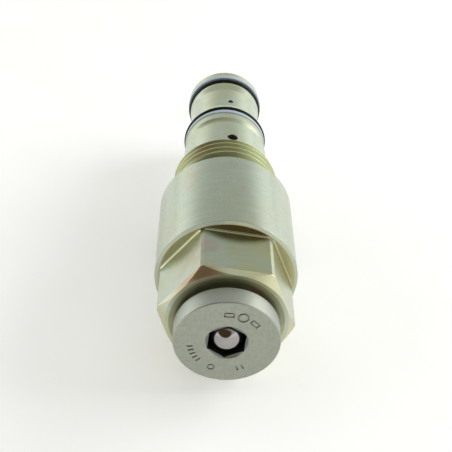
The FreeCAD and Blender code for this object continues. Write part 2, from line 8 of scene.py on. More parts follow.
import bpy
from bpy.props import FloatProperty, FloatVectorProperty, PointerProperty
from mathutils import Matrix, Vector

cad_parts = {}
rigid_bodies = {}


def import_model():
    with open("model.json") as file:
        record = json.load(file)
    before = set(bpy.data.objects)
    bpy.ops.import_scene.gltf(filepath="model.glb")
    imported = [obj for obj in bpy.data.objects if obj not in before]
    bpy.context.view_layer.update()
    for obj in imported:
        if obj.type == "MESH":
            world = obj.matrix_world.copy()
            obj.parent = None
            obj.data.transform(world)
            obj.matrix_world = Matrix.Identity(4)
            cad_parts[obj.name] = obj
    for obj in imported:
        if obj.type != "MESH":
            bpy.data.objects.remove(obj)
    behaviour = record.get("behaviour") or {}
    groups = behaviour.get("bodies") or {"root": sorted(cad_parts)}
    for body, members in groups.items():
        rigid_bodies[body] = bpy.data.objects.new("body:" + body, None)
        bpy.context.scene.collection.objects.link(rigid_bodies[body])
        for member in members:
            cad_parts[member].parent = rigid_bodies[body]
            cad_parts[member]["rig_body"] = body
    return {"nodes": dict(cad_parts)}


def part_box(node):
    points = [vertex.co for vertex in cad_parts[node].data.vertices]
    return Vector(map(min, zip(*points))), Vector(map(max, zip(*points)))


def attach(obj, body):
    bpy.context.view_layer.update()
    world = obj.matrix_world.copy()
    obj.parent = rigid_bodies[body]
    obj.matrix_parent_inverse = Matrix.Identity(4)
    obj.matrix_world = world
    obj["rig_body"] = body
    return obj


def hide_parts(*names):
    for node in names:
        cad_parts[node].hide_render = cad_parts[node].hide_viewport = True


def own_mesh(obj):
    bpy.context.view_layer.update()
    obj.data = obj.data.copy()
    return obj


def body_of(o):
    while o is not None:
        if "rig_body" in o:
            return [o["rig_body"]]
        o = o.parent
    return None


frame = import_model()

bl_info = {
    "name": "Cartridge valve",
    "version": (1, 0, 0),
    "blender": (4, 5, 0),
    "location": "View3D > Sidebar > Valve",
    "description": "Finishes, seals and studio for a screw-in pressure-relief cartridge valve",
    "category": "Object",
}

MM = 0.001

# Places on the valve: the boxes of the CAD nodes, and distances within them.
body_low, body_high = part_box("hex_body")
cap_low, cap_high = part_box("adjusting_cap")
BARREL_RADIUS = body_high.x
CAP_FACE = cap_low.y
CAP_RADIUS = cap_high.x
SOCKET_REACH = 4.7 * MM              # out to the corners of the cap's hexagonal socket
END_FACE = body_low.y                # the body's end face, behind the cap's head
END_FACE_REACH = 12.5 * MM           # the painted shade on the end face reaches out to here
CHAMFER_END = END_FACE + 1.9 * MM    # the turned chamfer round the hexagon's front
HEX_END = END_FACE + 14.6 * MM       # where the hexagon meets the barrel
RELIEF_START = 0.1 * MM              # the thread relief starts just past the seating shoulder
THREAD_END = body_high.y
MID_SEAL_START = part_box("mid_backup_ring")[0].y
LAND_STEP = 4 * MM                   # length of the duller end of the land before that seal
SPRING_TURNS = 7.15                  # turns of the helix in the main spring's own length

RING_SIDES = 192                     # facets round a ring
SECTION_SIDES = 32                   # facets round an O-ring's section
WIRE_SIDES = 24                      # facets round the spring's wire
COIL_SIDES = 56                      # facets round one coil
SMOOTH_ANGLE = math.radians(35)      # sharper edges than this stay sharp
CORNER_ANGLE = math.radians(40)      # sharper corners of a PTFE ring than this are rounded
FLASH_WIDTH = 0.05 * MM              # from the middle of a line of flash to its side
TABLE_SIZE = 6.0                     # metres across

CAMERA_PLACE = (-0.00107, -0.1838, 0.1337)

# The softboxes: name, place, width and height, in metres.
LEFT_SOFTBOX = ("left_softbox", (-0.42, 0.10, 0.13), 0.34, 0.18)
RIGHT_SOFTBOX = ("right_softbox", (0.40, 0.08, 0.21), 0.38, 0.2)
DOORWAY_WAY = (-0.17, 0.0, 0.44)     # direction of the tent's open doorway, seen from the valve
DOORWAY_REACH = (0.7, 0.42)          # half its width and half its height, as parts of a direction
DOORWAY_LIMIT = -0.35                # it shows only in directions whose Y part is below this


def linear(hex_colour):
    """An sRGB hex colour as linear red, green, blue and alpha."""
    channels = [int(hex_colour[i:i + 2], 16) / 255 for i in (1, 3, 5)]
    return [c / 12.92 if c <= 0.04045 else ((c + 0.055) / 1.055) ** 2.4 for c in channels] + [1.0]


def colour_property(name, description, hex_colour):
    return FloatVectorProperty(name=name, description=description, subtype="COLOR", size=4,
                               min=0.0, max=1.0, default=linear(hex_colour))


def length_property(name, description, millimetres):
    return FloatProperty(name=name, description=description, unit="LENGTH", min=0.0,
                         precision=5, default=millimetres * MM)


# ---- what a user may change --------------------------------------------------------------------
class ValveColours(bpy.types.PropertyGroup):
    zinc: colour_property("Zinc plating",
                          "Green-grey of the passivated zinc on the body", "#B6C0B2")
    zinc_yellow: colour_property("Yellow passivate",
                                 "Where the passivate film is thicker", "#B9BA84")
    zinc_pink: colour_property("Pink passivate",
                               "Where the passivate film turns copper-pink", "#B98F78")
    sleeve: colour_property("Sleeve plating", "Zinc on the ground sleeve", "#BCC6B4")
    cap: colour_property("Cap steel", "Whiter plating of the adjusting cap", "#A9AEA6")
    ball: colour_property("Ball steel", "Polished chrome-steel ball", "#A3A09F")
    rubber: colour_property("Nitrile rubber", "Oiled black rubber with a green cast", "#08120A")
    ptfe: colour_property("PTFE", "Cold waxy white of the back-up rings", "#B3C0CA")
    hardened: colour_property("Hardened steel", "Ground and hardened running parts", "#9A9B9C")
    straw: colour_property("Temper colour", "Straw left by tempering", "#9C8458")
    wire: colour_property("Spring wire", "Oil-tempered spring wire", "#5B5A5C")
    phosphate: colour_property("Phosphate",
                               "Grey-black phosphate on the retaining rings", "#35363A")
    stainless: colour_property("Stainless", "Perforated stainless sheet", "#B9B8B4")


class ValveSizes(bpy.types.PropertyGroup):
    edge_break: length_property("Edge break",
                                "Rounding that deburring leaves on machined edges", 0.14)
    turning_pitch: length_property("Turning pitch", "Spacing of the turning marks as drawn", 0.32)
    flash_height: length_property("Flash height", "Mould flash left round an O-ring", 0.03)
    ring_edge: length_property("Ring edge", "Rounded edge of a PTFE ring", 0.12)
    mid_ring_wall: length_property("Middle ring wall",
                                   "Thickness of the middle back-up ring", 1.48)
    nose_ring_wall: length_property("Nose ring wall", "Thickness of the nose back-up ring", 2.03)
    cap_ring_wall: length_property("Cap ring wall", "Thickness of the cap's back-up ring", 1.38)
    spring_wire: length_property("Spring wire", "Diameter of the main spring's wire", 2.8)
    slipper_wall: length_property("Slipper wall", "Thickness of the poppet's slipper ring", 0.73)


class ValveStage(bpy.types.PropertyGroup):
    lens: FloatProperty(name="Lens", description="Focal length on a 36 mm sensor",
                        unit="CAMERA", default=71.37)
    pitch: FloatProperty(name="Pitch", description="How far the camera looks down",
                         unit="ROTATION", default=math.radians(36.95))
    yaw: FloatProperty(name="Yaw", description="Camera turn towards +X", unit="ROTATION",
                       default=math.radians(0.38))
    left_power: FloatProperty(name="Left softbox", description="Power of the left softbox",
                              unit="POWER", default=0.45)
    right_power: FloatProperty(name="Right softbox", description="Power of the right softbox",
                               unit="POWER", default=1.15)
    sky: FloatProperty(name="Tent brightness", description="Brightness of the white tent",
                       default=1.4, min=0.0)


# ---- materials ---------------------------------------------------------------------------------
COLOUR = {"data_type": "RGBA"}
EASED = {"interpolation_type": "SMOOTHSTEP"}
MULTIPLY = {"operation": "MULTIPLY"}
MULTIPLY_ADD = {"operation": "MULTIPLY_ADD"}


def add_node(tree, kind, settings=None, **sockets):
    """Adds a node with its settings; a socket takes a value or another node's output."""
    made = tree.nodes.new(kind)
    for name, value in (settings or {}).items():
        setattr(made, name, value)
    for name, value in sockets.items():
        name = int(name[1:]) if name[0] == "_" else name.replace("_", " ")
        if isinstance(value, bpy.types.NodeSocket):
            tree.links.new(value, made.inputs[name])
        else:
            made.inputs[name].default_value = value
    return made


def new_material(name, metallic=0.0):
    """An empty node material with its Principled shader joined to the output."""
    material = bpy.data.materials.new(name)
    material.use_nodes = True
    tree = material.node_tree
    tree.nodes.clear()
    shader = add_node(tree, "ShaderNodeBsdfPrincipled", Metallic=metallic)
    add_node(tree, "ShaderNodeOutputMaterial", Surface=shader.outputs[0])
    return material, tree, shader


def place_on_axis(tree):
    """Object position, station along the axis and distance from the axis."""
    place = add_node(tree, "ShaderNodeTexCoord").outputs["Object"]
    split = add_node(tree, "ShaderNodeSeparateXYZ", Vector=place)
    across = add_node(tree, "ShaderNodeCombineXYZ", X=split.outputs["X"], Z=split.outputs["Z"])
    radius = add_node(tree, "ShaderNodeVectorMath", {"operation": "LENGTH"}, _0=across.outputs[0])
    return place, split.outputs["Y"], radius.outputs["Value"]


def between(tree, value, low, high, soft):
    """One where a value lies between two limits, easing to nothing over a soft distance."""
    rise = add_node(tree, "ShaderNodeMapRange", EASED, Value=value,
                    From_Min=low - soft, From_Max=low).outputs[0]
    fall = add_node(tree, "ShaderNodeMapRange", EASED, Value=value,
                    From_Min=high, From_Max=high + soft, To_Min=1.0, To_Max=0.0).outputs[0]
    return add_node(tree, "ShaderNodeMath", MULTIPLY, _0=rise, _1=fall).outputs[0]


def blotch(tree, place, size, low, high, seed=0.0):
    """Soft patches of about the given size, from nothing to one."""
    shifted = add_node(tree, "ShaderNodeMapping", Vector=place, Location=(seed, seed * 0.7, -seed))
    noise = add_node(tree, "ShaderNodeTexNoise", Vector=shifted.outputs[0], Scale=1 / size,
                     Detail=3.0, Roughness=0.55)
    return add_node(tree, "ShaderNodeMapRange", EASED, Value=noise.outputs[0],
                    From_Min=low, From_Max=high).outputs[0]


def rings(tree, station, radius, place, pitch, wander=0.03):
    """The lines a lathe tool leaves: round the axis on walls, and concentric on faces."""
    # Real lines are about 0.1 mm apart from turning and finer from grinding. They are drawn wider
    # apart so that they show. The wander makes a line waver a little on its way round.
    split = add_node(tree, "ShaderNodeSeparateXYZ", Vector=place)
    drift = add_node(tree, "ShaderNodeMath", MULTIPLY, _0=split.outputs["X"], _1=wander).outputs[0]
    lines = add_node(tree, "ShaderNodeCombineXYZ", X=radius, Y=station, Z=drift)
    return add_node(tree, "ShaderNodeTexNoise", Vector=lines.outputs[0], Scale=1 / pitch,
                    Detail=2.0, Roughness=0.6).outputs[0]


def edges(tree, edge_break):
    """The rounded normal of broken edges, and how far each point is on such an edge."""
    rounded = add_node(tree, "ShaderNodeBevel", {"samples": 6}, Radius=edge_break).outputs[0]
    flat = add_node(tree, "ShaderNodeNewGeometry").outputs["Normal"]
    agree = add_node(tree, "ShaderNodeVectorMath", {"operation": "DOT_PRODUCT"},
                     _0=rounded, _1=flat)
    on_edge = add_node(tree, "ShaderNodeMapRange", Value=agree.outputs["Value"],
                       From_Min=0.995, From_Max=0.85).outputs[0]
    return rounded, on_edge


def crevice_shade(tree, reach):
    """Painted shade: one deep in thread roots, grooves and seams, nothing in the open."""
    open_sky = add_node(tree, "ShaderNodeAmbientOcclusion", {"samples": 6}, Distance=reach)
    return add_node(tree, "ShaderNodeMapRange", Value=open_sky.outputs["AO"],
                    From_Min=0.75, From_Max=0.2).outputs[0]


def rub_marks(tree, place, length, width, seed=0.0):
    """Sparse fine scuffs from handling, longer than they are wide."""
    # Real scuffs are hair-thin, and are drawn wider so that they show.
    turned = add_node(tree, "ShaderNodeMapping", Vector=place,
                      Rotation=(0.4 + seed, 0.9, 0.3 + seed),
                      Scale=(1 / length, 1 / width, 1 / length))
    noise = add_node(tree, "ShaderNodeTexNoise", Vector=turned.outputs[0], Scale=1.0,
                     Detail=1.0, Roughness=0.4)
    return add_node(tree, "ShaderNodeMapRange", Value=noise.outputs[0],
                    From_Min=0.66, From_Max=0.74).outputs[0]


def coat(tree, shader, base, layers, rough, changes=(), height=None, depth=0.0, normal=None,
         shade=None):
    """Builds a finish and joins it to its shader.

    A layer is a tint, then patterns and numbers whose product is how strongly it covers what is
    below. A change is a pattern and how far the roughness moves where it is strong. The height
    pattern raises the surface by a real depth, and shade scales the finished colour.
    """
    colour = list(base)
    for tint, *covers in layers:
        amount = covers[0]
        for cover in covers[1:]:
            amount = add_node(tree, "ShaderNodeMath", MULTIPLY, _0=amount, _1=cover).outputs[0]
        tint = linear(tint) if isinstance(tint, str) else list(tint)
        colour = add_node(tree, "ShaderNodeMix", COLOUR, _0=amount, _6=colour, _7=tint).outputs[2]
    if shade is not None:
        colour = add_node(tree, "ShaderNodeVectorMath", {"operation": "SCALE"}, _0=colour,
                          Scale=shade).outputs[0]
    tree.links.new(colour, shader.inputs["Base Color"])
    shader.inputs["Roughness"].default_value = rough
    for pattern, amount in changes:
        rough = add_node(tree, "ShaderNodeMath", MULTIPLY_ADD, _0=pattern, _1=amount,
                         _2=rough).outputs[0]
    if changes:
        tree.links.new(rough, shader.inputs["Roughness"])
    if height is not None:
        bump = add_node(tree, "ShaderNodeBump", Height=height, Distance=depth, Strength=1.0)
        if normal is not None:
            tree.links.new(normal, bump.inputs["Normal"])
        tree.links.new(bump.outputs[0], shader.inputs["Normal"])
    return colour


def passivated_zinc_steel(colours, sizes):
    """Turned free-cutting steel, zinc plated and yellow-green passivated, for the body."""
    # The zinc gives a soft silver-green sheen on the turned barrel and a slightly clearer one on
    # the milled hexagon. The thin passivate film adds patches of pale yellow and copper pink, most
    # on the hexagon and the thread. The turned chamfer is tinted copper on one side, partly the
    # film's hue and partly painted shade, and the film is tan on the barrel's front face. The end
    # face behind the cap is dull, and is painted dark olive near the cap as painted shade under
    # its head.
    material, tree, shader = new_material("passivated_zinc_steel", 1.0)
    place, station, radius = place_on_axis(tree)
    across = add_node(tree, "ShaderNodeSeparateXYZ", Vector=place).outputs["X"]
    hexagon = between(tree, station, CAP_FACE, HEX_END, 0.2 * MM)
    thread = between(tree, station, RELIEF_START, THREAD_END, 0.2 * MM)
    chamfer = between(tree, station, END_FACE + 0.06 * MM, CHAMFER_END, 0.1 * MM)
    end_face = between(tree, station, CAP_FACE, END_FACE + 0.02 * MM, 0.03 * MM)
    inner = between(tree, radius, 0.0, END_FACE_REACH, 0.35 * MM)
    front_face = between(tree, station, HEX_END - 0.12 * MM, HEX_END + 0.04 * MM, 0.03 * MM)
    copper_and_shade_side = between(tree, across, -8 * MM, -4 * MM, 5 * MM)
    film = add_node(tree, "ShaderNodeMath", MULTIPLY_ADD, _0=hexagon, _1=0.5, _2=0.22).outputs[0]
    film = add_node(tree, "ShaderNodeMath", MULTIPLY_ADD, _0=thread, _1=0.45, _2=film).outputs[0]
    # Strength of the painted shade in crevices: weaker in the thread and on the front face, a
    # little stronger on the end face.
    crevice_shade_strength = 0.55
    for pattern, change in ((thread, -0.3), (end_face, 0.05), (front_face, -0.3)):
        crevice_shade_strength = add_node(tree, "ShaderNodeMath", MULTIPLY_ADD, _0=pattern, _1=change,
                         _2=crevice_shade_strength).outputs[0]
    rounded, on_edge = edges(tree, sizes.edge_break)
    rub_and_highlight = add_node(tree, "ShaderNodeMath", MULTIPLY_ADD, _0=thread, _1=-0.3, _2=0.4).outputs[0]
    # On faces the turning marks are drawn wider apart than on walls.
    face_radius = add_node(tree, "ShaderNodeMath", MULTIPLY, _0=radius, _1=0.35).outputs[0]
    marks = rings(tree, station, face_radius, place, sizes.turning_pitch)
    shade = add_node(tree, "ShaderNodeMapRange", Value=marks, From_Min=0.3, From_Max=0.7,
                     To_Min=0.94, To_Max=1.03).outputs[0]
    coat(tree, shader, colours.zinc, (
        (colours.zinc_yellow, film, blotch(tree, place, 11 * MM, 0.35, 0.7)),
        ("#BDC48E", thread, 0.75),
        ("#DDD9B8", chamfer, 0.5),
        # Darker copper on the left side of the chamfer: partly the film's hue, partly painted
        # shade on the side away from the bright softbox.
        ("#A9794C", chamfer, copper_and_shade_side, 0.6),
        ("#A99C70", front_face, 0.6),
        # Painted shade: dark olive on the end face inside END_FACE_REACH, where the cap's head
        # overhangs it.
        ("#7F7D58", end_face, inner, 0.65),
        (colours.zinc_pink, film, 0.6, blotch(tree, place, 9 * MM, 0.5, 0.72, seed=0.4)),
        # Painted shade, dark olive-brown, in thread roots, grooves and seams.
        ("#34301B", crevice_shade(tree, 1.2 * MM), crevice_shade_strength),
        # Pale broken edges, weaker in the thread: partly rubbed plating, partly a painted
        # highlight along the edges.
        ("#DDE2CC", on_edge, rub_and_highlight),
        ("#DDE3D2", rub_marks(tree, place, 6 * MM, 0.25 * MM), 0.15),
    ), 0.23, (
        (blotch(tree, place, 3 * MM, 0.3, 0.7, seed=0.2), 0.06),
        (hexagon, -0.02), (chamfer, 0.12), (end_face, 0.16), (thread, 0.15),
    ), marks, 1.4e-6, rounded, shade)
    return material


def ground_zinc_steel(colours, sizes):
    """Cylindrically ground sleeve steel, zinc plated."""
    # Grinding leaves finer and flatter lines than turning, so the sleeve mirrors the tent more
    # clearly than the body does, with a faint green-yellow cast. The end of the long land beside
    # the middle seal is duller.
    material, tree, shader = new_material("ground_zinc_steel", 1.0)
    place, station, radius = place_on_axis(tree)
    step = between(tree, station, MID_SEAL_START - LAND_STEP, MID_SEAL_START, 0.5 * MM)
    rounded, on_edge = edges(tree, sizes.edge_break)
    marks = rings(tree, station, radius, place, sizes.turning_pitch * 0.7)
    coat(tree, shader, colours.sleeve, (
        (colours.zinc_yellow, blotch(tree, place, 8 * MM, 0.4, 0.7, seed=0.3), 0.35),
        (colours.zinc_pink, blotch(tree, place, 7 * MM, 0.52, 0.75, seed=0.9), 0.2),
        # Painted shade, dark olive, in grooves and seams.
        ("#34321F", crevice_shade(tree, 1.0 * MM), 0.45),
        # Pale edges: partly wear, partly a painted highlight along the edges.
        ("#E6E9D2", on_edge, 0.35),
    ), 0.25, (
        (blotch(tree, place, 3 * MM, 0.3, 0.7, seed=0.5), 0.08), (step, 0.14),
    ), marks, 1.0e-6, rounded)
    return material


def satin_plated_steel(colours, sizes):
    """Turned cap steel with clear passivated zinc, matt on its face."""
    # Fine concentric tool lines and a slightly etched plating make the face an even, nearly
    # shadowless grey with small darker mottles, while the side keeps soft bands of light. The
    # struck marks are darker, the socket below the face is painted nearly black as painted shade,
    # and hollows get painted shade.
    material, tree, shader = new_material("satin_plated_steel", 1.0)
    place, station, radius = place_on_axis(tree)
    face = between(tree, station, CAP_FACE - 1 * MM, CAP_FACE + 0.02 * MM, 0.04 * MM)
    struck = between(tree, station, CAP_FACE + 0.08 * MM, CAP_FACE + 0.2 * MM, 0.03 * MM)
    on_face = between(tree, radius, SOCKET_REACH + 0.6 * MM, CAP_RADIUS - 0.6 * MM, 0.1 * MM)
    in_socket = between(tree, radius, 0.0, SOCKET_REACH, 0.2 * MM)
    below_face = between(tree, station, CAP_FACE + 0.5 * MM, CAP_FACE + 9 * MM, 0.4 * MM)
    mottle = blotch(tree, place, 0.7 * MM, 0.35, 0.65, seed=0.6)
    rounded, on_edge = edges(tree, sizes.edge_break * 0.7)
    marks = rings(tree, station, radius, place, sizes.turning_pitch * 0.75)
    coat(tree, shader, colours.cap, (
        ("#B5B5A6", blotch(tree, place, 6 * MM, 0.4, 0.7), 0.25),
        ("#9FA294", face, 0.65),
        ("#8F9386", mottle, face, 0.3),
        ("#6A6D5E", struck, on_face, 0.6),
        # Painted shade: the socket's walls below the face are painted nearly black.
        ("#17150F", in_socket, below_face, 0.85),
        # Painted shade in the cap's hollows and seams.
        ("#2C2A22", crevice_shade(tree, 0.5 * MM), 0.7),
        # Pale edges: partly wear, partly a painted highlight along the edges.
        ("#F0F0EA", on_edge, 0.4),
    ), 0.46, ((face, -0.05), (mottle, 0.05)), marks, 1.8e-6, rounded)
    return material


def polished_ball_steel(colours, sizes):
    """Lapped chrome-steel bearing ball."""
    # Lapping leaves a true mirror; only a breath of oil and a few hair scratches soften it.
    material, tree, shader = new_material("polished_ball_steel", 1.0)
    place, _, _ = place_on_axis(tree)
    film = blotch(tree, place, 2 * MM, 0.4, 0.7)
    hairs = rub_marks(tree, place, 3 * MM, 0.08 * MM)
    coat(tree, shader, colours.ball, (("#94908F", film, 0.3),),
         0.07, ((film, 0.05), (hairs, 0.15)))
    return material


def moulded_nitrile(colours, sizes):
    """Moulded nitrile rubber, lightly oiled."""
    # Deep black with a trace of green, a soft broad highlight from the oil, and a fine moulded
    # grain. The grain is about 0.05 mm and is drawn at 0.25 mm so that it shows.
    material, tree, shader = new_material("moulded_nitrile")
    place, _, _ = place_on_axis(tree)
    grain = add_node(tree, "ShaderNodeTexNoise", Vector=place, Scale=1 / (0.25 * MM),
                     Detail=2.0, Roughness=0.6).outputs[0]
    shader.inputs["IOR"].default_value = 1.5
    shader.inputs["Specular IOR Level"].default_value = 0.14
    coat(tree, shader, colours.rubber,
         (("#1A2A1C", blotch(tree, place, 2.5 * MM, 0.5, 0.8), 0.3),),
         0.36, ((blotch(tree, place, 1.5 * MM, 0.3, 0.7, seed=0.7), 0.16),), grain, 6e-6)
    return material


def turned_ptfe(colours, sizes):
    """Skived and turned PTFE."""
    # A cold, waxy white that lets a little light in, with the even lines of the turning tool.
    material, tree, shader = new_material("turned_ptfe")
    place, station, radius = place_on_axis(tree)
    marks = rings(tree, station, radius, place, 0.2 * MM)
    shader.inputs["IOR"].default_value = 1.36
    shader.inputs["Subsurface Weight"].default_value = 0.15
    shader.inputs["Subsurface Radius"].default_value = (1.0, 1.0, 1.0)
    shader.inputs["Subsurface Scale"].default_value = 0.4 * MM
    coat(tree, shader, colours.ptfe, (
        ("#A9B2BE", blotch(tree, place, 3 * MM, 0.5, 0.8), 0.3),
        # Painted shade, blue-grey, in the ring's hollows and seams.
        ("#5C6470", crevice_shade(tree, 0.6 * MM), 0.5),
    ), 0.38, (), marks, 3e-6)
    return material


def hardened_ground_steel(colours, sizes):
    """Case-hardened alloy steel with ground working faces."""
    # Grey and bright from the wheel, with straw temper colour in soft patches.
    material, tree, shader = new_material("hardened_ground_steel", 1.0)
    place, station, radius = place_on_axis(tree)
    rounded, on_edge = edges(tree, sizes.edge_break)
    marks = rings(tree, station, radius, place, 0.22 * MM)
    coat(tree, shader, colours.hardened, (
        (colours.straw, blotch(tree, place, 7 * MM, 0.4, 0.75), 0.4),
        # Painted shade in grooves and seams.
        ("#26221C", crevice_shade(tree, 0.8 * MM), 0.5),
        # Pale edges: partly wear, partly a painted highlight along the edges.
        ("#D8D8D8", on_edge, 0.35),
    ), 0.2, ((marks, 0.12),), marks, 1.5e-6, rounded)
    return material


def shot_peened_wire(colours, sizes):
    """Oil-tempered spring wire, shot peened."""
    # Dark blue-grey scale, dimpled by the shot. The dimples are about 0.2 mm and are drawn at
    # 0.3 mm so that they show.
    material, tree, shader = new_material("shot_peened_wire", 1.0)
    place, _, _ = place_on_axis(tree)
    dimples = add_node(tree, "ShaderNodeTexVoronoi", {"feature": "SMOOTH_F1"}, Vector=place,
                       Scale=1 / (0.3 * MM)).outputs["Distance"]
    coat(tree, shader, colours.wire, (("#3B3A40", blotch(tree, place, 4 * MM, 0.4, 0.7), 0.5),),
         0.3, ((dimples, 0.2),), dimples, 1.2e-5)
    return material


def phosphated_spring_steel(colours, sizes):
    """Stamped spring steel, zinc phosphated and oiled."""
    # Fine grey-black crystals with a dull sheen, rubbed brighter at the stamped edges. A crystal
    # is a few hundredths of a millimetre across, and is drawn at 0.12 mm so that it shows.
    material, tree, shader = new_material("phosphated_spring_steel", 0.8)
    place, _, _ = place_on_axis(tree)
    crystals = add_node(tree, "ShaderNodeTexVoronoi", Vector=place, Scale=1 / (0.12 * MM))
    speck = add_node(tree, "ShaderNodeMapRange", Value=crystals.outputs["Distance"],
                     From_Min=0.2, From_Max=0.8).outputs[0]
    rounded, on_edge = edges(tree, sizes.edge_break)
    coat(tree, shader, colours.phosphate, (
        ("#4A4A4C", speck), ("#8E8E90", on_edge, 0.6),
    ), 0.42, ((speck, 0.15),), speck, 4e-6, rounded)
    return material


def perforated_stainless(colours, sizes):
    """Rolled and punched stainless sheet."""
    # Pale grey with long straight rolling lines along one direction of the sheet. Real ones are
    # finer, and are drawn 0.2 mm apart so that they show.
    material, tree, shader = new_material("perforated_stainless", 1.0)
    place, _, _ = place_on_axis(tree)
    rolled = add_node(tree, "ShaderNodeMapping", Vector=place,
                      Scale=(1 / (16.667 * MM), 1 / (2.5 * MM), 1 / (0.2 * MM)))
    lines = add_node(tree, "ShaderNodeTexNoise", Vector=rolled.outputs[0], Scale=1.0,
                     Detail=2.0).outputs[0]
    rounded, _ = edges(tree, sizes.edge_break * 0.5)
    coat(tree, shader, colours.stainless, (("#8F8E8A", lines, 0.5),),
         0.25, ((lines, 0.15),), lines, 2e-6, rounded)
    return material


def opal_acrylic(colours, sizes):
    """Opal acrylic sheet, faintly lit from below."""
    # A plain white table whose own glow thins the shadow, with the slight cloudiness of the
    # sheet.
    material, tree, shader = new_material("opal_acrylic")
    place, _, _ = place_on_axis(tree)
    shader.inputs["Emission Strength"].default_value = 0.25
    shader.inputs["Specular IOR Level"].default_value = 0.1
    colour = coat(tree, shader, linear("#FBFBFA"),
                  (("#F4F4F3", blotch(tree, place, 40 * MM, 0.3, 0.7), 0.5),), 0.9)
    tree.links.new(colour, shader.inputs["Emission Color"])
    return material


def finish_nodes(context, make, nodes):
    """Gives CAD nodes one finish."""
    material = make(context.scene.valve_colours, context.scene.valve_sizes)
    for name in nodes:
        for slot in frame["nodes"][name].material_slots:
            slot.material = material


# ---- modelling ---------------------------------------------------------------------------------
def choose(piece, test, kind="verts"):
    """In edit mode, selects only the vertices or faces whose place passes a test."""
    bpy.ops.mesh.select_mode(type="VERT" if kind == "verts" else "FACE")
    bpy.ops.mesh.select_all(action="DESELECT")
    bpy.ops.object.mode_set(mode="OBJECT")
    items = piece.data.vertices if kind == "verts" else piece.data.polygons
    for item in items:
        item.select = test(item.co if kind == "verts" else item.center)
    bpy.ops.object.mode_set(mode="EDIT")


def settle(piece, name, node, material):
    """Names a finished ring, puts its place in its mesh and lets it stand for its CAD node."""
    piece.name = piece.data.name = name
    bpy.ops.object.transform_apply(location=True, rotation=True, scale=True)
    bpy.ops.object.shade_smooth_by_angle(angle=SMOOTH_ANGLE)
    piece.data.materials.append(material)
    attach(piece, body_of(frame["nodes"][node])[0])
    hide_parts(node)


def moulded_ring(node, flash, material):
    """An O-ring with the two thin lines of flash that its split mould leaves."""
    low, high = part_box(node)
    section = (high.y - low.y) / 2
    middle = high.x - section
    station = (high.y + low.y) / 2
    bpy.ops.object.select_all(action="DESELECT")
    bpy.ops.mesh.primitive_torus_add(major_segments=RING_SIDES, minor_segments=SECTION_SIDES,
                                     major_radius=middle, minor_radius=section,
                                     location=(0, station, 0), rotation=(math.pi / 2, 0, 0))
    piece = bpy.context.object
    bpy.ops.object.transform_apply(location=True, rotation=True, scale=True)
    bpy.ops.object.mode_set(mode="EDIT")
    for seam, lift in ((middle + section, flash), (middle - section, -flash)):
        choose(piece, lambda at: abs(math.hypot(at.x, at.z) - seam) < 0.01 * section)
        bpy.ops.mesh.bevel(offset=FLASH_WIDTH, segments=2, affect="EDGES")
        choose(piece, lambda at: abs(math.hypot(at.x, at.z) - seam) < 0.01 * section
               and abs(at.y - station) < 0.01 * MM)
        spread = (seam + lift) / seam
        bpy.ops.transform.resize(value=(spread, 1, spread), center_override=(0, station, 0))
    bpy.ops.object.mode_set(mode="OBJECT")
    settle(piece, node + "_moulded", node, material)


def cut_ring(node, wall, edge, material, scarf=True):
    """A turned PTFE ring with rounded edges, cut through on a slant so that it can be fitted."""
    low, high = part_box(node)
    station = (high.y + low.y) / 2
    bpy.ops.object.select_all(action="DESELECT")
    bpy.ops.mesh.primitive_cylinder_add(vertices=RING_SIDES, radius=high.x,
                                        depth=high.y - low.y, end_fill_type="NOTHING",
                                        location=(0, station, 0), rotation=(math.pi / 2, 0, 0))
    piece = bpy.context.object
    bpy.ops.object.transform_apply(location=True, rotation=True, scale=True)
    thick = piece.modifiers.new("wall", "SOLIDIFY")
    thick.thickness, thick.offset = wall, -1.0
    thick.use_even_offset = True
    bpy.ops.object.modifier_apply(modifier=thick.name)
    soften = piece.modifiers.new("edges", "BEVEL")
    soften.width, soften.segments, soften.limit_method = edge, 3, "ANGLE"
    soften.angle_limit = CORNER_ANGLE
    bpy.ops.object.modifier_apply(modifier=soften.name)
    if scarf:
        cut_scarf(piece, high.x, station)
    settle(piece, node + "_cut", node, material)


def cut_scarf(piece, radius, station, turn=math.radians(-62), slant=math.radians(40),
              gap=0.12 * MM):
    """Opens a thin slanted slit low on one side of a ring."""
    out = Vector((math.cos(turn), 0, math.sin(turn)))
    along = Vector((-math.sin(turn), 0, math.cos(turn)))
    normal = (along * math.cos(slant) + Vector((0, 1, 0)) * math.sin(slant)).normalized()
    middle = out * radius + Vector((0, station, 0))

    def near(at):
        return (at - middle).length < 0.4 * radius

    bpy.ops.object.mode_set(mode="EDIT")
    for side in (-1, 1):
        choose(piece, near, "faces")
        bpy.ops.mesh.bisect(plane_co=middle + normal * (side * gap / 2), plane_no=normal)
    choose(piece, lambda at: near(at) and abs((at - middle).dot(normal)) < gap / 2, "faces")
    bpy.ops.mesh.delete(type="FACE")
    bpy.ops.mesh.select_mode(type="EDGE")
    bpy.ops.mesh.select_all(action="DESELECT")
    bpy.ops.mesh.select_non_manifold()
    bpy.ops.mesh.fill_holes(sides=0)
    bpy.ops.mesh.select_all(action="SELECT")
    bpy.ops.mesh.normals_make_consistent(inside=False)
    bpy.ops.object.mode_set(mode="OBJECT")


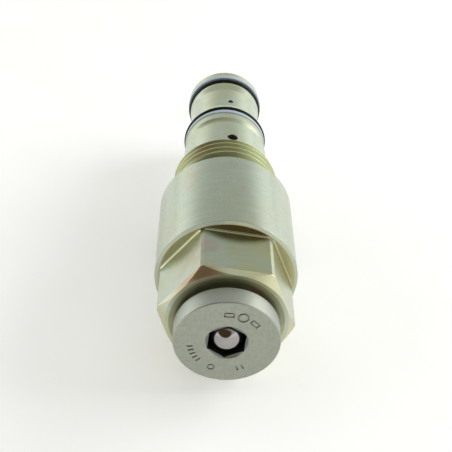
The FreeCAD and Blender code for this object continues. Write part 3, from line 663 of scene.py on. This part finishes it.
def coiled_spring(node, wire, material):
    """A compression spring wound from round wire, with its end coils ground flat."""
    low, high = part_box(node)
    length = high.y - low.y
    pitch = length / SPRING_TURNS
    bpy.ops.object.select_all(action="DESELECT")
    bpy.ops.mesh.primitive_circle_add(vertices=WIRE_SIDES, radius=wire / 2,
                                      location=(high.x - wire / 2, low.y - wire / 2, 0))
    piece = bpy.context.object
    bpy.ops.object.transform_apply(location=True)
    wind = piece.modifiers.new("coils", "SCREW")
    wind.axis, wind.screw_offset = "Y", pitch
    wind.iterations = math.ceil((length + wire) / pitch)
    wind.steps = wind.render_steps = COIL_SIDES
    bpy.ops.object.modifier_apply(modifier=wind.name)
    bpy.ops.object.mode_set(mode="EDIT")
    for station, way in ((low.y, -1), (high.y, 1)):
        bpy.ops.mesh.select_all(action="SELECT")
        bpy.ops.mesh.bisect(plane_co=(0, station, 0), plane_no=(0, way, 0), use_fill=True,
                            clear_outer=True)
    bpy.ops.mesh.select_all(action="SELECT")
    bpy.ops.mesh.normals_make_consistent(inside=False)
    bpy.ops.object.mode_set(mode="OBJECT")
    settle(piece, node + "_coiled", node, material)
    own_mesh(piece)


# ---- operators ---------------------------------------------------------------------------------
class VALVE_OT_body(bpy.types.Operator):
    """Finish the body: wrench hexagon, barrel, relief and cavity thread"""
    bl_idname = "valve.body"
    bl_label = "Body"

    def execute(self, context):
        finish_nodes(context, passivated_zinc_steel, ["hex_body"])
        return {"FINISHED"}


class VALVE_OT_sleeve(bpy.types.Operator):
    """Finish the stepped sleeve with its lands, grooves and cross holes"""
    bl_idname = "valve.sleeve"
    bl_label = "Sleeve"

    def execute(self, context):
        finish_nodes(context, ground_zinc_steel, ["sleeve"])
        return {"FINISHED"}


class VALVE_OT_cap(bpy.types.Operator):
    """Finish the adjusting cap and the ball that closes its socket"""
    bl_idname = "valve.cap"
    bl_label = "Adjusting cap"

    def execute(self, context):
        finish_nodes(context, satin_plated_steel, ["adjusting_cap"])
        finish_nodes(context, polished_ball_steel, ["tamper_ball"])
        return {"FINISHED"}


class VALVE_OT_o_rings(bpy.types.Operator):
    """Model the moulded nitrile O-rings"""
    bl_idname = "valve.o_rings"
    bl_label = "O-rings"

    def execute(self, context):
        sizes = context.scene.valve_sizes
        rubber = moulded_nitrile(context.scene.valve_colours, sizes)
        for node in ("port_o_ring", "mid_o_ring", "nose_o_ring"):
            moulded_ring(node, sizes.flash_height, rubber)
        for node in ("cap_o_ring", "sleeve_o_ring", "poppet_o_ring", "seat_o_ring"):
            moulded_ring(node, sizes.flash_height / 3, rubber)
        return {"FINISHED"}


class VALVE_OT_ptfe_rings(bpy.types.Operator):
    """Model the PTFE back-up rings and the poppet's slipper ring"""
    bl_idname = "valve.ptfe_rings"
    bl_label = "PTFE rings"

    def execute(self, context):
        sizes = context.scene.valve_sizes
        ptfe = turned_ptfe(context.scene.valve_colours, sizes)
        cut_ring("mid_backup_ring", sizes.mid_ring_wall, sizes.ring_edge, ptfe)
        cut_ring("nose_backup_ring", sizes.nose_ring_wall, sizes.ring_edge, ptfe)
        cut_ring("cap_backup_ring", sizes.cap_ring_wall, sizes.ring_edge, ptfe)
        cut_ring("poppet_slipper_ring", sizes.slipper_wall, sizes.ring_edge, ptfe, scarf=False)
        return {"FINISHED"}


class VALVE_OT_spring_pieces(bpy.types.Operator):
    """Wind the main spring and finish its seats, shim, plunger and thrust ball"""
    bl_idname = "valve.spring_pieces"
    bl_label = "Spring and seats"

    def execute(self, context):
        colours, sizes = context.scene.valve_colours, context.scene.valve_sizes
        coiled_spring("main_spring", sizes.spring_wire, shot_peened_wire(colours, sizes))
        finish_nodes(context, hardened_ground_steel,
                     ["spring_plunger", "lower_spring_seat", "spring_shim", "thrust_ball",
                      "poppet", "valve_seat"])
        return {"FINISHED"}


class VALVE_OT_small_pieces(bpy.types.Operator):
    """Finish the retaining rings and the inlet screen"""
    bl_idname = "valve.small_pieces"
    bl_label = "Rings and screen"

    def execute(self, context):
        finish_nodes(context, phosphated_spring_steel, ["cap_retaining_ring", "screen_circlip"])
        finish_nodes(context, perforated_stainless, ["inlet_screen"])
        return {"FINISHED"}


def softbox(name, place, width, height, power):
    """A soft light that faces the valve and isn't itself seen."""
    light = bpy.data.lights.new(name, "AREA")
    light.shape, light.size, light.size_y, light.energy = "RECTANGLE", width, height, power
    lamp = bpy.data.objects.new(name, light)
    bpy.context.scene.collection.objects.link(lamp)
    lamp.location = place
    lamp.rotation_euler = (-Vector(place)).to_track_quat("-Z", "Y").to_euler()
    lamp.visible_camera = False


class VALVE_OT_studio(bpy.types.Operator):
    """Set up the light table, the white tent, the softboxes and the camera"""
    bl_idname = "valve.studio"
    bl_label = "Studio"

    def execute(self, context):
        stage = context.scene.valve_stage
        bpy.ops.object.select_all(action="DESELECT")
        bpy.ops.mesh.primitive_grid_add(x_subdivisions=8, y_subdivisions=8, size=TABLE_SIZE,
                                        location=(0, 0, -BARREL_RADIUS))
        floor = bpy.context.object
        floor.name = floor.data.name = "light_table"
        bpy.ops.object.transform_apply(location=True)
        floor.data.materials.append(opal_acrylic(context.scene.valve_colours,
                                                 context.scene.valve_sizes))
        softbox(*LEFT_SOFTBOX, stage.left_power)
        softbox(*RIGHT_SOFTBOX, stage.right_power)
        tent(stage.sky)
        lens = bpy.data.cameras.new("valve_camera")
        lens.sensor_width, lens.lens = 36.0, stage.lens
        lens.clip_start, lens.clip_end = 0.01, 20.0
        camera = bpy.data.objects.new("valve_camera", lens)
        context.scene.collection.objects.link(camera)
        camera.location = CAMERA_PLACE
        camera.rotation_euler = (math.pi / 2 - stage.pitch, 0, -stage.yaw)
        context.scene.camera = camera
        context.scene.view_settings.view_transform = "Standard"
        return {"FINISHED"}


def tent(brightness):
    """A white tent, duller overhead, with a dim warm room showing through its rounded doorway."""
    world = bpy.data.worlds.new("white_tent")
    bpy.context.scene.world = world
    world.use_nodes = True
    tree = world.node_tree
    tree.nodes.clear()
    way = add_node(tree, "ShaderNodeTexCoord").outputs["Generated"]
    split = add_node(tree, "ShaderNodeSeparateXYZ", Vector=way)
    dull = add_node(tree, "ShaderNodeMapRange", EASED, Value=split.outputs["Z"],
                    From_Min=0.18, From_Max=0.5).outputs[0]
    walls = add_node(tree, "ShaderNodeMix", COLOUR, _0=dull, _6=linear("#F4F5F2"),
                     _7=linear("#A9ABA7")).outputs[2]
    away = add_node(tree, "ShaderNodeVectorMath", {"operation": "SUBTRACT"}, _0=way,
                    _1=DOORWAY_WAY)
    shape = add_node(tree, "ShaderNodeVectorMath", MULTIPLY, _0=away.outputs[0],
                     _1=(1 / DOORWAY_REACH[0], 0.0, 1 / DOORWAY_REACH[1]))
    reach = add_node(tree, "ShaderNodeVectorMath", {"operation": "LENGTH"}, _0=shape.outputs[0])
    doorway = add_node(tree, "ShaderNodeMapRange", EASED, Value=reach.outputs["Value"],
                       From_Min=1.08, From_Max=0.82).outputs[0]
    front = between(tree, split.outputs["Y"], -1.1, DOORWAY_LIMIT, 0.1)
    gap = add_node(tree, "ShaderNodeMath", MULTIPLY, _0=doorway, _1=front).outputs[0]
    seen = add_node(tree, "ShaderNodeMix", COLOUR, _0=gap, _6=walls,
                    _7=linear("#523F2D")).outputs[2]
    glow = add_node(tree, "ShaderNodeBackground", Color=seen, Strength=brightness)
    add_node(tree, "ShaderNodeOutputWorld", Surface=glow.outputs[0])


class VALVE_PT_panel(bpy.types.Panel):
    """Lists the steps that finish the valve"""
    bl_idname = "VALVE_PT_panel"
    bl_label = "Cartridge valve"
    bl_space_type = "VIEW_3D"
    bl_region_type = "UI"
    bl_category = "Valve"

    def draw(self, context):
        for step in STEPS:
            self.layout.operator(step.bl_idname)
        scene = context.scene
        for group in (scene.valve_sizes, scene.valve_colours, scene.valve_stage):
            box = self.layout.box()
            for name in group.__annotations__:
                box.prop(group, name)


STEPS = (VALVE_OT_body, VALVE_OT_sleeve, VALVE_OT_cap, VALVE_OT_o_rings, VALVE_OT_ptfe_rings,
         VALVE_OT_spring_pieces, VALVE_OT_small_pieces, VALVE_OT_studio)
GROUPS = {"valve_colours": ValveColours, "valve_sizes": ValveSizes, "valve_stage": ValveStage}


def register():
    for cls in (*GROUPS.values(), *STEPS, VALVE_PT_panel):
        bpy.utils.register_class(cls)
    for name, group in GROUPS.items():
        setattr(bpy.types.Scene, name, PointerProperty(type=group))


def unregister():
    for name in GROUPS:
        delattr(bpy.types.Scene, name)
    for cls in (VALVE_PT_panel, *reversed(STEPS), *reversed(GROUPS.values())):
        bpy.utils.unregister_class(cls)


def main():
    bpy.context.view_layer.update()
    register()
    bpy.ops.valve.body()
    bpy.ops.valve.sleeve()
    bpy.ops.valve.cap()
    bpy.ops.valve.o_rings()
    bpy.ops.valve.ptfe_rings()
    bpy.ops.valve.spring_pieces()
    bpy.ops.valve.small_pieces()
    bpy.ops.valve.studio()


if __name__ == "__main__":
    main()
